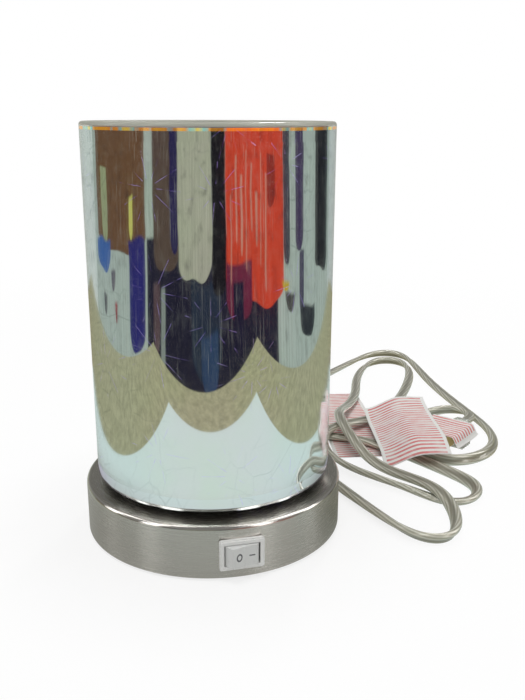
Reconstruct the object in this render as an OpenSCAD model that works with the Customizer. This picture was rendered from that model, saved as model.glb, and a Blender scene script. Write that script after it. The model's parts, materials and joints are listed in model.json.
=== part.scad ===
// Table lamp: a mirror-coated glass cylinder, open at the top, on a round brushed-metal base
// with a rocker switch in its wall and a loosely laid two-core cord.
// Millimetres. Z is up and the lamp stands on z = 0. The switch faces -Y, the cord leaves at +Y.

/* [Base] */
// Outer diameter of the pressed base shell
base_d = 131; // [116:1:150]
// Height of the base shell's wall
base_h = 26; // [25:0.5:36]
// Thickness of the base's sheet metal
shell_t = 1.2; // [0.8:0.1:1.8]
// Radius of the rounded top edge of the base
edge_r = 2.4; // [2:0.1:4]
// Gap between the shell's lower rim and the table
rim_gap = 1; // [0.5:0.1:1.6]
// Thickness of the bottom cover
cover_t = 1.6; // [1.2:0.1:2.4]
// Diameter of a rubber foot
foot_d = 12; // [9:0.5:15]
// Height of a foot below the cover
foot_h = 2.4; // [2:0.1:3.5]
// Diameter of the circle that the feet stand on
foot_pcd = 98; // [86:1:104]
// Diameter of the circle of the cover's screw posts
post_pcd = 98; // [86:1:104]
// Diameter of a screw post
post_d = 7; // [5.5:0.5:9]
// Shank diameter of a cover screw
screw_d = 3; // [2.5:0.1:3.5]

/* [Glass] */
// Outer diameter of the glass cylinder
glass_d = 119; // [108:1:126]
// Height of the glass cylinder
glass_h = 172; // [150:1:200]
// Wall thickness of the glass
glass_t = 3; // [2:0.1:4]
// Thickness of the glass floor
glass_floor_t = 3.5; // [2.5:0.1:5]
// Outer radius of the glass's bottom corner
glass_corner_r = 3.2; // [2:0.2:6]
// Radius of the inner bottom corner of the glass
glass_inner_r = 3; // [2:0.5:6]
// Diameter of the hole in the glass floor
fitter_d = 42; // [41:0.5:46]
// Thickness of the gasket that carries the glass
seat_t = 3; // [2.5:0.1:5]
// Diameter of the gasket
seat_d = 96; // [70:1:100]

/* [Lamp holder] */
// Outer diameter of the lamp holder
holder_d = 39; // [37:0.5:40]
// Height of the lamp holder
holder_h = 50; // [48:0.5:58]
// Diameter of the ring that clamps the glass
ring_d = 56; // [52:1:64]
// Height of the clamping ring
ring_h = 8; // [6:0.5:12]
// Outer diameter of the hollow threaded stem
stem_d = 9.6; // [9:0.1:10.5]
// Bore of the hollow threaded stem
stem_bore = 6.8; // [6.6:0.1:7.4]
// Width across the flats of the stem's nuts
nut_af = 14; // [13:0.5:17]
// Height of a stem nut
nut_h = 4; // [3:0.5:5]

/* [Bulb] */
// Diameter of the bulb's glass
bulb_d = 48; // [44:1:60]
// Overall length of the bulb
bulb_len = 86; // [80:1:100]
// Crest diameter of the bulb's screw cap
cap_d = 26.4; // [25.8:0.1:26.6]
// Thread pitch of the cap
cap_pitch = 3.6; // [3:0.1:4]

/* [Switch] */
// Width of the switch bezel, along the base's wall
bezel_w = 21; // [20:0.5:24]
// Height of the switch bezel
bezel_h = 15; // [14.5:0.5:18]
// Thickness of the bezel
bezel_t = 2; // [1.6:0.1:2.6]
// Height of the switch's middle above the shell's lower rim
switch_rise = 12.2; // [11:0.1:13]
// Depth of the switch body behind the bezel
switch_depth = 12; // [11.8:0.1:14]
// Swing radius of the rocker's ends
rocker_r = 8.1; // [7.6:0.1:8.4]
// Width of the rocker, along its pivot
rocker_w = 10; // [9:0.1:10.2]
// Full swing of the rocker, in degrees
rocker_swing = 25; // [18:1:28]
// Depth of the rocker's pivot below the bezel's face
pivot_depth = 3; // [2.8:0.1:3.4]
// Diameter of the rocker's pivot pins
pivot_d = 2.4; // [2:0.1:2.8]

/* [Cord] */
// Width of the flat two-core cord
cord_w = 7; // [5.6:0.1:7.2]
// Thickness of the cord
cord_t = 3.6; // [2.8:0.1:3.8]
// Height of the cord's hole above the table
cord_hole_z = 11; // [10:0.5:14]
// Diameter of the cord's hole in the base
cord_hole_d = 12; // [11:0.5:14]
// Length of the strain relief outside the base
relief_len = 20; // [20:1:40]
// Diameter of an inner lead
lead_d = 2.2; // [1.8:0.1:2.4]

/* [Plug] */
// Length of the plug's body, with its cord sleeve
plug_len = 30; // [28:0.5:31]
// Width of the plug's body
plug_w = 25; // [22:0.5:28]
// Height of the plug's body
plug_h = 13.6; // [12:0.1:16]
// Length of a contact blade outside the body
blade_len = 16; // [15:0.5:16.5]
// Distance between the two blades
blade_gap = 12.7; // [12.5:0.1:13]

/* [Paper tags] */
// Width of the tag that lies over the plug
plug_tag_w = 30; // [20:1:30]
// Width of the tag that lies over the cord
cord_tag_w = 80; // [60:1:84]
// Width of the tag that lies flat on the table
flat_tag_w = 36; // [24:1:38]
// Thickness of the paper
paper_t = 0.4; // [0.3:0.1:0.8]

/* [Hidden] */
$fn = 96;

// Clearances
fit_gap = 0.05;
slip_gap = 0.15;
run_gap = 0.3;
contact_gap = 0.1;

// Levels of the base and of what stands on it
base_r = base_d / 2;
top_z = rim_gap + base_h;
under_z = top_z - shell_t;
cover_z = foot_h + cover_t;
foot_sink = 0.8;
head_clear = 0.8;
screw_l = 11;
glass_z = top_z + seat_t;
glass_r = glass_d / 2;
floor_z = glass_z + glass_floor_t;
post_count = 3;
foot_count = 4;

// Lamp holder, from its underside up
holder_floor = 3;
chamber_h = 11;
chamber_r = 12;
partition_t = 4;
shell_wall = 0.5;
shell_bore_r = cap_d / 2 + 0.25;
deck_z = top_z + holder_floor + chamber_h + partition_t;
rivet_r = 1.5;
rivet_x = 8;
contact_h = 3;
washer_t = 1;
stem_low_z = under_z - washer_t - nut_h - 1.5;
stem_high_z = top_z + holder_floor + nut_h + 1;
lead_end_z = deck_z - partition_t - 0.6;

// Bulb, from the tip of its contact up
bulb_z = deck_z + contact_h + run_gap;
tip_h = 1.6;
insulator_h = 3.4;
cap_h = 20.5;
cap_z = bulb_z + tip_h + insulator_h;
neck_z = cap_z + cap_h;
neck_r = 11.6;
bulb_r = bulb_d / 2;
ball_z = bulb_z + bulb_len - bulb_r;
bulb_wall = 0.9;
shoulder_a = 38;
mount_r = 1.6;
mount_top = 6;
flare_r = 8;
flare_h = 14;
filament_r = 0.9;
filament_count = 4;
filament_pcd = 15;
filament_len = 30;

// Rocker switch: its own frame has x along the wall, y up and z out of the base
body_w = bezel_w - 2.2;
body_h = bezel_h - 2.2;
window_l = 2 * (rocker_r + run_gap);
window_h = rocker_w + 2 * run_gap;
pivot_z = bezel_t - pivot_depth;
half_swing = rocker_swing / 2;
dish_a = 9;
rocker_rise = pivot_depth + 1.5;
plunger_reach = 6.3;
plunger_r = 1.1;
arm_t = 0.6;
arm_l = 13;
arm_w = 4;
arm_tilt = 6;
arm_ratio = arm_tilt / half_swing;
fulcrum_r = 0.7;
saddle_r = fulcrum_r + fit_gap + 0.55;
arm_axis_z = pivot_z - plunger_reach - 0.06 - saddle_r;
button_r = 1;
button_h = 0.5;
button_x = -5.4;
tab_w = 4.8;
tab_t = 0.8;
tab_out = 8;
spring_wire = 0.4;
spring_turns = 4;

// Cord: each route point is [x, y, lift above the table, roll], a roll of 90 stands the cord on edge
exit_y = base_r + relief_len;
relief_in = 8;
bushing_out = 5.6;
sleeve_d = cord_w + 2;
cord_rings = 2;
route = [
  [0, exit_y, cord_hole_z - cord_t / 2, 0], [0, exit_y + 22, cord_hole_z - cord_t / 2, 0],
  [13, 135, 5, 35], [34, 131, 1, 60], [50, 113, 0, 40], [59, 80, 0, 20], [67, 43, 0, 5],
  [75, 6, 0, 10], [84, -32, 0, 30], [92, -57, 0, 50], [108, -62, 0.1, 60], [119, -47, 2, 45],
  [124, -17, 5.8, 0], [116, 9, 1.5, 15], [102, 34, 0.5, 10], [100, 69, 8.4, 0], [102, 100, 10.7, 0],
  [119, 126, 1.9, 5], [137, 152, 1.3, 5], [148, 185, 0.3, 15], [165, 216, 0.1, 35], [183, 233, 0, 60],
  [200, 231, 0, 65], [206, 214, 0, 50], [196, 187, 0, 25], [177, 155, 0.1, 10], [156, 126, 0.1, 5],
  [132, 102, 1.1, 15], [104, 92, 4.8, 0], [84, 78, 5.9, 0], [79, 51, 1.4, 45], [90, 26, 0.1, 35],
  [110, -0, 0.1, 30], [123, -23, 0, 0], [140, -25, 0, 30], [151, -10, 0, 55], [143, 13, 0.1, 35],
  [126, 45, 1, 20], [112, 72, 1, 0], [85, 85, 1, 0], [65, 104, 0.1, 45], [64, 129, 0, 35],
  [77, 156, 0, 20], [99, 182, 0, 5], [128, 205, 0, 5], [157, 230, 0, 20], [182, 251, 0, 40],
  [203, 255, 0, 55], [215, 241, 0, 50], [212, 213, 0, 25], [206, 177, 0, 10], [203, 139, 0, 5],
  [202, 103, 0, 10], [201, 69, 0, 25], [190, 41, 0, 45], [170, 25, 0, 70], [148, 24, 0, 80],
  [134, 41, 0, 75], [134, 67, 0, 70], [147, 92, 0, 70], [170, 105, 0, 75], [191, 105, 2.5, 75],
  [198, 85, plug_h / 2 - cord_t / 2, 0], [184, 74, plug_h / 2 - cord_t / 2, 0]
];
plug_turn = 218.16;
plug_sleeve_l = 9;
plug_shoulder_r = 6;
plug_crown_r = 4;
plug_edge_r = 2;
paper_lift = 0.2;
plug_at = [route[len(route) - 1][0], route[len(route) - 1][1], plug_h / 2];

// Inner leads, from end to end
tab_y = -base_r + switch_depth + tab_out;
lead_y = base_r - shell_t - relief_in - run_gap;
cord_lead_route = [
  [2.4, lead_y, cord_hole_z], [2.4, 48, cord_hole_z], [22, 40, 9], [32, 14, 9], [26, -14, 10],
  [8, -28, 13], [0, tab_y + 6, rim_gap + switch_rise], [0, tab_y + run_gap, rim_gap + switch_rise]
];
switched_lead_route = [
  [button_x, tab_y + run_gap, rim_gap + switch_rise], [button_x, tab_y + 6, rim_gap + switch_rise],
  [-12, -26, 10], [-10, -10, 9], [-1.6, -2, 9], [-1.5, 0, 15], [-1.5, 0, 24],
  [-1.5, 0, stem_high_z], [0, 0, lead_end_z - 1.6], [0, 0, lead_end_z - run_gap]
];
neutral_lead_route = [
  [-2.4, lead_y, cord_hole_z], [-2.4, 48, cord_hole_z], [-8, 32, 9], [-2, 14, 9], [1.6, 2, 9],
  [1.5, 0, 15], [1.5, 0, 24], [1.5, 0, stem_high_z - 1], [1.5, 0, stem_high_z + 2.5],
  [rivet_x - 1.5, 0, stem_high_z + 3], [rivet_x, 0, lead_end_z - 1.4], [rivet_x, 0, lead_end_z - run_gap]
];

// Points of an arc in a profile plane
function arc(c, r, a0, a1, n) = [for (i = [0:n]) let (a = a0 + (a1 - a0) * i / n) c + r * [cos(a), sin(a)]];

// Smooth step from 0 to 1
function ease(t) = t * t * (3 - 2 * t);

// Cubic B-spline through a list of control points that starts and ends on its end points
function control(p, i) =
  i < 0 ? 2 * p[0] - p[1] : i >= len(p) ? 2 * p[len(p) - 1] - p[len(p) - 2] : p[i];
function blend(a, b, c, d, t) =
  (pow(1 - t, 3) * a + (3 * pow(t, 3) - 6 * pow(t, 2) + 4) * b
    + (3 * t + 3 * pow(t, 2) - 3 * pow(t, 3) + 1) * c + pow(t, 3) * d) / 6;
function smooth_path(p, n) = [
  for (i = [0:len(p) - 2], k = [0:n - 1])
    blend(control(p, i - 1), p[i], p[i + 1], control(p, i + 2), k / n),
  p[len(p) - 1]
];

// Frame of a swept section: unit tangent, level side direction and the upward direction
function unit(v) = v / norm(v);
function tangent(c, i) =
  let (n = len(c) - 1)
  i == 0 ? unit(8 * c[1] - 7 * c[0] - c[2])
  : i == n ? unit(7 * c[n] + c[n - 2] - 8 * c[n - 1])
  : unit(c[i + 1] - c[i - 1]);
function ring(c, i, section, roll, side) =
  let (t = tangent(c, i), s = unit(cross(t, side)), u = cross(s, t))
  [for (q = section) c[i] + (q[0] * cos(roll) - q[1] * sin(roll)) * s
    + (q[0] * sin(roll) + q[1] * cos(roll)) * u];

// Two round cores side by side, joined at a waist
function flat_section(w, t) =
  let (r = t / 2, m = w / 2 - r)
  concat([[0, -r * 0.62]], [for (a = [-75:50:75]) [m + r * cos(a), r * sin(a)]],
    [[0, r * 0.62]], [for (a = [105:50:255]) [-m + r * cos(a), r * sin(a)]]);
function round_section(d) = [for (k = [0:7]) d / 2 * [cos(45 * k), sin(45 * k)]];

// Half the height of the flat cord at a roll
function half_height(roll) = (cord_w - cord_t) / 2 * abs(sin(roll)) + cord_t / 2;

// Tube through rings of points, closed at both ends by fans
module skin(rings, centres) {
  n = len(rings[0]);
  m = len(rings);
  first = n * m;
  points = concat([for (r = rings, p = r) p], [centres[0], centres[m - 1]]);
  walls = [
    for (i = [0:m - 2], k = [0:n - 1])
      let (a = i * n + k, b = i * n + (k + 1) % n)
      for (f = [[a, b, a + n], [b, b + n, a + n]]) f
  ];
  low = [for (k = [0:n - 1]) [first, (k + 1) % n, k]];
  high = [for (k = [0:n - 1]) [first + 1, (m - 1) * n + k, (m - 1) * n + (k + 1) % n]];
  polyhedron(points = points, faces = concat(walls, low, high), convexity = 10);
}

module lead(path, start_side) {
  centres = smooth_path(path, 2);
  rings = [for (i = [0:len(centres) - 1]) ring(centres, i, round_section(lead_d), 0, start_side)];
  skin(rings, centres);
}

// Copies round the lamp's axis
module around(count, pcd, turn = 0) {
  for (i = [0:count - 1])
    rotate([0, 0, turn + i * 360 / count])
      translate([pcd / 2, 0, 0])
        children();
}

// Places a child in the switch's own frame
module at_switch() {
  translate([0, -base_r, rim_gap + switch_rise])
    rotate([90, 0, 0])
      children();
}

// Rectangle with round corners, centred
module round_rect(w, h, r) {
  square([w - 2 * r, h], center = true);
  square([w, h - 2 * r], center = true);
  for (sx = [-1, 1], sy = [-1, 1])
    translate([sx * (w / 2 - r), sy * (h / 2 - r)])
      circle(r, $fn = 32);
}

// Pressed metal cup, open below, with its rounded top edge
module base_shell() {
  outer = arc([base_r - edge_r, top_z - edge_r], edge_r, 0, 90, 8);
  inner = arc([base_r - edge_r, top_z - edge_r], edge_r - shell_t, 90, 0, 8);
  stem_hole_r = stem_d / 2 + slip_gap;
  color("silver")
    difference() {
      rotate_extrude()
        polygon(concat([[base_r, rim_gap]], outer, [[stem_hole_r, top_z], [stem_hole_r, under_z]],
          inner, [[base_r - shell_t, rim_gap]]));
      at_switch()
        linear_extrude(4 * shell_t + bezel_t, center = true)
          square([body_w + 2 * slip_gap, body_h + 2 * slip_gap], center = true);
      translate([0, base_r, cord_hole_z])
        rotate([90, 0, 0])
          cylinder(d = cord_hole_d, h = 6 * shell_t, center = true);
    }
}

// Flat black plate inside the shell's rim, with a stiffening step round its edge
module bottom_cover() {
  cover_r = base_r - shell_t - run_gap;
  color("dimgray")
    difference() {
      union() {
        translate([0, 0, foot_h])
          cylinder(r = cover_r, h = cover_t);
        translate([0, 0, cover_z])
          difference() {
            cylinder(r = cover_r, h = cover_t);
            translate([0, 0, -1])
              cylinder(r = cover_r - 1.4, h = cover_t + 2);
          }
      }
      around(post_count, post_pcd)
        cylinder(d = screw_d + 2 * slip_gap, h = 4 * cover_z, center = true);
      around(foot_count, foot_pcd, 45)
        translate([0, 0, foot_h - 1])
          cylinder(d = foot_d + 2 * fit_gap, h = 1 + foot_sink);
      at_exit()
        cylinder(d = cord_hole_d + 2 * run_gap, h = 3 * relief_in, center = true);
    }
}

module cover_posts() {
  color("darkgray")
    around(post_count, post_pcd)
      difference() {
        translate([0, 0, cover_z])
          cylinder(d = post_d, h = under_z - cover_z);
        cylinder(d = screw_d, h = foot_h + screw_l + 2 * head_clear);
      }
}

// Pan-head screws that come up through the cover into the posts
module cover_screws() {
  head_h = foot_h - head_clear;
  color("gray")
    around(post_count, post_pcd)
      difference() {
        union() {
          translate([0, 0, foot_h])
            cylinder(d = screw_d - 2 * fit_gap, h = screw_l);
          rotate_extrude()
            polygon([[0, foot_h - head_h], [screw_d * 0.6, foot_h - head_h],
              [screw_d * 0.95, foot_h - head_h / 2], [screw_d * 0.95, foot_h], [0, foot_h]]);
        }
        for (turn = [0, 90])
          rotate([0, 0, turn])
            translate([0, 0, foot_h - head_h])
              cube([screw_d * 1.1, 0.6, 1.2], center = true);
      }
}

// Rubber bumpers glued into shallow pockets of the cover
module rubber_feet() {
  color("black")
    around(foot_count, foot_pcd, 45)
      rotate_extrude()
        polygon(concat([[0, 0]], arc([foot_d / 2 - 1.4, 1.2], 1.2, -90, 0, 6),
          [[foot_d / 2, foot_h + foot_sink], [0, foot_h + foot_sink]]));
}

// Dark gasket that holds the glass clear of the base
module glass_seat() {
  hole_r = fitter_d / 2;
  color("black")
    translate([0, 0, top_z])
      rotate_extrude()
        polygon([[hole_r, 0], [seat_d / 2 - 1, 0], [seat_d / 2, 1], [seat_d / 2, seat_t - 1],
          [seat_d / 2 - 1, seat_t], [hole_r, seat_t]]);
}

// Glass cup with a rounded bottom corner, a hole in its floor and a fire-polished rim
module glass_shade() {
  wall_r = glass_r - glass_t;
  rim_z = glass_z + glass_h - glass_t / 2;
  color("lightcyan", 0.6)
    rotate_extrude($fn = 128)
      polygon(concat([[fitter_d / 2, glass_z]],
        arc([glass_r - glass_corner_r, glass_z + glass_corner_r], glass_corner_r, -90, 0, 10),
        arc([glass_r - glass_t / 2, rim_z], glass_t / 2, 0, 180, 10),
        arc([wall_r - glass_inner_r, floor_z + glass_inner_r], glass_inner_r, 0, -90, 6),
        [[fitter_d / 2, floor_z]]));
}

// Ring with a finger grip that screws down over the lamp holder onto the glass floor
module clamp_ring() {
  grip_count = 24;
  bore_r = holder_d / 2 + slip_gap;
  flange_h = 2.2;
  grip_r = ring_d / 2 - 4;
  color("black")
    translate([0, 0, floor_z])
      difference() {
        rotate_extrude()
          polygon([[bore_r, 0], [ring_d / 2 - 0.6, 0], [ring_d / 2, 0.6], [ring_d / 2, flange_h],
            [grip_r, flange_h], [grip_r, ring_h - 1], [grip_r - 1, ring_h], [bore_r, ring_h]]);
        around(grip_count, 2 * grip_r + 0.8)
          translate([0, 0, flange_h])
            cylinder(r = 0.9, h = ring_h, $fn = 16);
      }
}

// Moulded lamp holder: a wiring chamber below, the screw shell's bore above
module holder_body() {
  groove_pitch = 2.5;
  color([0.12, 0.12, 0.12])
    translate([0, 0, top_z])
      difference() {
        rotate_extrude()
          polygon(concat([[0, 0], [holder_d / 2 - 0.8, 0], [holder_d / 2, 0.8],
            [holder_d / 2, seat_t + glass_floor_t + ring_h + 2],
            [holder_d / 2 - 1.2, seat_t + glass_floor_t + ring_h + 5],
            [holder_d / 2 - 1.2, holder_h - 1.5]],
            arc([holder_d / 2 - 2.7, holder_h - 1.5], 1.5, 0, 90, 5),
            [[0, holder_h]]));
        translate([0, 0, -1])
          cylinder(d = stem_d + 2 * slip_gap, h = holder_floor + 2);
        translate([0, 0, holder_floor])
          cylinder(r = chamber_r, h = chamber_h);
        for (x = [0, rivet_x])
          translate([x, 0, holder_floor + chamber_h - 1])
            cylinder(r = rivet_r + fit_gap, h = partition_t + 2, $fn = 32);
        translate([0, 0, deck_z - top_z])
          cylinder(r = shell_bore_r + shell_wall + fit_gap, h = holder_h);
      }
}

// Metal screw shell with its floor ring and rivet
module holder_shell() {
  shell_h = top_z + holder_h - 3 - deck_z;
  out_r = shell_bore_r + shell_wall;
  color("goldenrod") {
    translate([0, 0, deck_z])
      rotate_extrude()
        polygon([[5, 0], [out_r, 0], [out_r, shell_h], [shell_bore_r, shell_h],
          [shell_bore_r, shell_wall], [5, shell_wall]]);
    translate([rivet_x, 0, lead_end_z])
      cylinder(r = rivet_r, h = deck_z - lead_end_z + shell_wall / 2, $fn = 32);
  }
}

// Centre contact: a rivet with a raised spring dome
module holder_contact() {
  color("gold")
    rotate_extrude()
      polygon([[0, lead_end_z], [rivet_r, lead_end_z], [rivet_r, deck_z], [3.6, deck_z],
        [3.6, deck_z + 0.6], [2.4, deck_z + 1], [1.6, deck_z + contact_h - 0.4],
        [1.1, deck_z + contact_h], [0, deck_z + contact_h]]);
}

module threaded_stem() {
  color("silver")
    translate([0, 0, stem_low_z])
      difference() {
        cylinder(d = stem_d, h = stem_high_z - stem_low_z);
        translate([0, 0, -1])
          cylinder(d = stem_bore, h = stem_high_z - stem_low_z + 2);
      }
}

// Hex nuts on the stem: one under the base's top, one inside the lamp holder
module stem_nuts() {
  color("silver")
    for (z = [under_z - washer_t - nut_h, top_z + holder_floor])
      translate([0, 0, z])
        difference() {
          cylinder(d = nut_af / cos(30), h = nut_h, $fn = 6);
          translate([0, 0, -1])
            cylinder(d = stem_d + 2 * fit_gap, h = nut_h + 2);
        }
}

module stem_washer() {
  color("gainsboro")
    translate([0, 0, under_z - washer_t])
      difference() {
        cylinder(d = nut_af + 8, h = washer_t);
        translate([0, 0, -1])
          cylinder(d = stem_d + 2 * slip_gap, h = washer_t + 2);
      }
}

// Solder tip of the bulb
module bulb_contact() {
  color("lightgray")
    rotate_extrude()
      polygon(concat([[0, bulb_z]], arc([3, bulb_z + tip_h], tip_h, -90, 0, 6), [[0, bulb_z + tip_h]]));
}

module bulb_insulator() {
  color([0.1, 0.1, 0.12])
    translate([0, 0, bulb_z + tip_h])
      cylinder(r1 = 5.2, r2 = cap_d / 2 - 2, h = insulator_h);
}

// Screw cap, with its rolled thread drawn as rounded rings
module bulb_cap() {
  crest_r = cap_d / 2;
  root_r = crest_r - 0.8;
  turns = 4;
  thread = [
    for (i = [0:turns * 6])
      [(crest_r + root_r) / 2 - (crest_r - root_r) / 2 * cos(60 * i), cap_z + 1 + i * cap_pitch / 6]
  ];
  color("lightgray")
    rotate_extrude()
      polygon(concat([[0, cap_z], [root_r - 0.6, cap_z]], thread,
        [[root_r, neck_z - 1.5], [root_r - 0.3, neck_z], [0, neck_z]]));
}

// Glass envelope: a ball that narrows smoothly to its neck
module bulb_glass() {
  outer = bulb_line(0);
  inner = bulb_line(bulb_wall);
  color("white", 0.4)
    rotate_extrude()
      polygon(concat(outer, [for (i = [len(inner) - 1:-1:0]) inner[i]]));
}

// Half outline of the bulb from its neck to its top, drawn in by a wall
function bulb_line(wall) =
  let (r = bulb_r - wall, side_r = bulb_r * cos(shoulder_a), side_z = ball_z - bulb_r * sin(shoulder_a))
  concat(
    [for (i = [0:7]) let (t = i / 8) [neck_r + (side_r - neck_r) * (t * t * (1.6 - 0.6 * t)) - wall,
      neck_z + (side_z - neck_z) * t]],
    arc([0, ball_z], r, -shoulder_a, 90, 16));

// Glass mount inside the bulb: a flared foot and a slim post
module bulb_mount() {
  post_z = ball_z + mount_top;
  spread = flare_r - mount_r;
  flare = [for (i = [0:6]) let (t = i / 6) [mount_r + spread * pow(1 - t, 2), neck_z + flare_h * t]];
  color("white", 0.5)
    rotate_extrude()
      polygon(concat([[0, neck_z]], flare, [[mount_r, post_z], [0, post_z]]));
}

// Light sticks round the post, joined by a wire star at each end
module bulb_filaments() {
  low_z = ball_z - filament_len / 2 - 4;
  color("khaki")
    difference() {
      union() {
        around(filament_count, filament_pcd)
          translate([0, 0, low_z])
            cylinder(r = filament_r, h = filament_len, $fn = 24);
        for (z = [low_z + 1, low_z + filament_len - 1])
          for (turn = [0, 90])
            rotate([0, 0, turn])
              translate([0, 0, z])
                rotate([0, 90, 0])
                  cylinder(r = 0.4, h = filament_pcd, center = true, $fn = 16);
        for (z = [low_z + 1, low_z + filament_len - 1])
          translate([0, 0, z])
            cylinder(r = mount_r + 0.7, h = 1.4, center = true);
      }
      cylinder(r = mount_r + fit_gap, h = 4 * ball_z, center = true);
    }
}

// White moulded housing with its bezel, pivot holes, snap wings and slots for the terminals
module switch_housing() {
  inside_z = -switch_depth + 1.5;
  wing_l = 6;
  color("white")
    at_switch()
      difference() {
        union() {
          linear_extrude(bezel_t - 0.6)
            round_rect(bezel_w, bezel_h, 1.2);
          linear_extrude(bezel_t)
            round_rect(bezel_w - 1.2, bezel_h - 1.2, 0.8);
          translate([0, 0, -switch_depth])
            linear_extrude(switch_depth)
              round_rect(body_w, body_h, 0.8);
        }
        translate([0, 0, inside_z])
          linear_extrude(switch_depth + bezel_t)
            square([window_l, window_h], center = true);
        translate([0, 0, pivot_z])
          rotate([90, 0, 0])
            cylinder(r = pivot_d / 2 + fit_gap, h = body_h + 1, center = true, $fn = 48);
        for (x = [0, button_x])
          translate([x, 0, inside_z])
            cube([tab_t + 2 * fit_gap, tab_w + 2 * fit_gap, 6], center = true);
        for (side = [-1, 1])
          translate([side * (body_w / 2 - 0.2), 0, -switch_depth + 3])
            cube([1, wing_l, 3], center = true);
      }
}

// Rocker: two sloping faces, round ends about the pivot, and a hollow boss below
module switch_rocker() {
  slope = tan(dish_a);
  crest = rocker_crest(slope);
  end_a = -12;
  boss_r = 2.3;
  boss_l = 4.6;
  color("whitesmoke")
    at_switch()
      translate([0, 0, pivot_z])
        rotate([0, half_swing, 0])
          difference() {
            union() {
              rotate([90, 0, 0])
                linear_extrude(rocker_w, center = true)
                  polygon(concat([[0, rocker_rise]],
                    arc([0, 0], rocker_r, crest, end_a, 8),
                    [[boss_r, -2.4], [-boss_r, -2.4]],
                    arc([0, 0], rocker_r, 180 - end_a, 180 - crest, 8)));
              rotate([90, 0, 0])
                cylinder(d = pivot_d, h = body_h - 0.4, center = true, $fn = 48);
              translate([0, 0, -boss_l])
                cylinder(r = boss_r, h = boss_l, $fn = 48);
            }
            translate([0, 0, -boss_l - 1])
              cylinder(r = plunger_r + fit_gap, h = boss_l + 2, $fn = 48);
          }
}

// Angle at which a rocker face meets the round end
function rocker_crest(slope) =
  let (a = 1 + slope * slope, b = rocker_rise * slope, c = rocker_rise * rocker_rise - rocker_r * rocker_r)
  let (x = (-b + sqrt(b * b - a * c)) / a)
  atan2(rocker_rise + slope * x, x);

// Round-nosed plunger that slides in the rocker's boss
module switch_plunger() {
  nose_z = -plunger_reach;
  color("ivory")
    at_switch()
      translate([0, 0, pivot_z])
        rotate([0, half_swing, 0])
          rotate_extrude($fn = 48)
            polygon(concat(arc([0, nose_z + plunger_r], plunger_r, -90, 0, 8),
              [[plunger_r, nose_z + 3.2], [0, nose_z + 3.2]]));
}

// Small coil spring above the plunger
module switch_spring() {
  low = -plunger_reach + 3.2 + spring_wire / 2 + fit_gap;
  high = 1 - spring_wire / 2 - fit_gap;
  steps = spring_turns * 8;
  coil_r = plunger_r - spring_wire / 2 - 0.1;
  centres = [
    for (i = [0:steps])
      [coil_r * cos(45 * i), coil_r * sin(45 * i), low + (high - low) * i / steps]
  ];
  gap = min([for (i = [0:steps], j = [i + 6:1:steps]) norm(centres[j] - centres[i])]) - spring_wire;
  echo(switch_spring_least_gap_mm = gap);
  wire = [for (k = [0:5]) spring_wire / 2 * [cos(60 * k), sin(60 * k)]];
  color("silver")
    at_switch()
      translate([0, 0, pivot_z])
        rotate([0, half_swing, 0])
          skin([for (i = [0:steps]) ring(centres, i, wire, 0, [0, 0, 1])], centres);
}

// Tilting contact arm on its round fulcrum
module switch_arm() {
  color("goldenrod")
    at_switch()
      translate([0, 0, arm_axis_z])
        rotate([0, -arm_tilt, 0])
          difference() {
            union() {
              translate([0, 0, saddle_r - arm_t / 2])
                cube([arm_l, arm_w, arm_t], center = true);
              rotate([90, 0, 0])
                cylinder(r = saddle_r, h = arm_w, center = true, $fn = 48);
              translate([button_x, 0, saddle_r - arm_t - button_h])
                cylinder(r = button_r, h = button_h + arm_t / 2, $fn = 32);
            }
            rotate([90, 0, 0])
              cylinder(r = fulcrum_r + fit_gap, h = arm_w + 2, center = true, $fn = 48);
            translate([0, 0, -saddle_r - 0.15])
              cube([4 * saddle_r, 2 * arm_w, 2 * saddle_r], center = true);
          }
}

// Two blade terminals: the middle one carries the fulcrum, the end one the fixed contact
module switch_terminals() {
  out_z = -switch_depth - tab_out;
  button_low = saddle_r - arm_t - button_h;
  pad_z = arm_axis_z + button_low * cos(arm_tilt) + button_x * sin(arm_tilt) - contact_gap
    - button_r * sin(arm_tilt);
  color("goldenrod")
    at_switch() {
      translate([-tab_t / 2, -tab_w / 2, out_z])
        cube([tab_t, tab_w, arm_axis_z - out_z]);
      translate([0, 0, arm_axis_z])
        rotate([90, 0, 0])
          cylinder(r = fulcrum_r, h = tab_w, center = true, $fn = 48);
      translate([button_x - tab_t / 2, -tab_w / 2, out_z])
        cube([tab_t, tab_w, pad_z - 0.5 - out_z]);
      translate([button_x, 0, pad_z - 0.8])
        cylinder(r = 1.3, h = 0.8, $fn = 32);
    }
}

module cord_lead() {
  color("tan")
    lead(cord_lead_route, [0, 0, 1]);
}

module switched_lead() {
  color("black")
    lead(switched_lead_route, [1, 0.2, 0]);
}

module neutral_lead() {
  color("white")
    lead(neutral_lead_route, [1, 0.2, 0]);
}

// Places a child on the cord's exit, with z pointing out of the base
module at_exit() {
  translate([0, base_r, cord_hole_z])
    rotate([-90, 0, 0])
      children();
}

// Bushing in the base's rear wall: a round head outside and a collar through the hole
module cord_bushing() {
  head_d = cord_hole_d + 4.4;
  bore_d = sleeve_d + 2 * slip_gap;
  color("lightgray")
    at_exit()
      difference() {
        union() {
          rotate_extrude()
            polygon([[0, 0], [head_d / 2, 0], [head_d / 2, bushing_out - 1.5],
              [head_d / 2 - 1.5, bushing_out], [0, bushing_out]]);
          translate([0, 0, -shell_t - relief_in])
            cylinder(d = cord_hole_d - 2 * slip_gap, h = shell_t + relief_in);
        }
        translate([0, 0, -shell_t - relief_in - 1])
          cylinder(d = bore_d, h = shell_t + relief_in + bushing_out + 2);
      }
}

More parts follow.
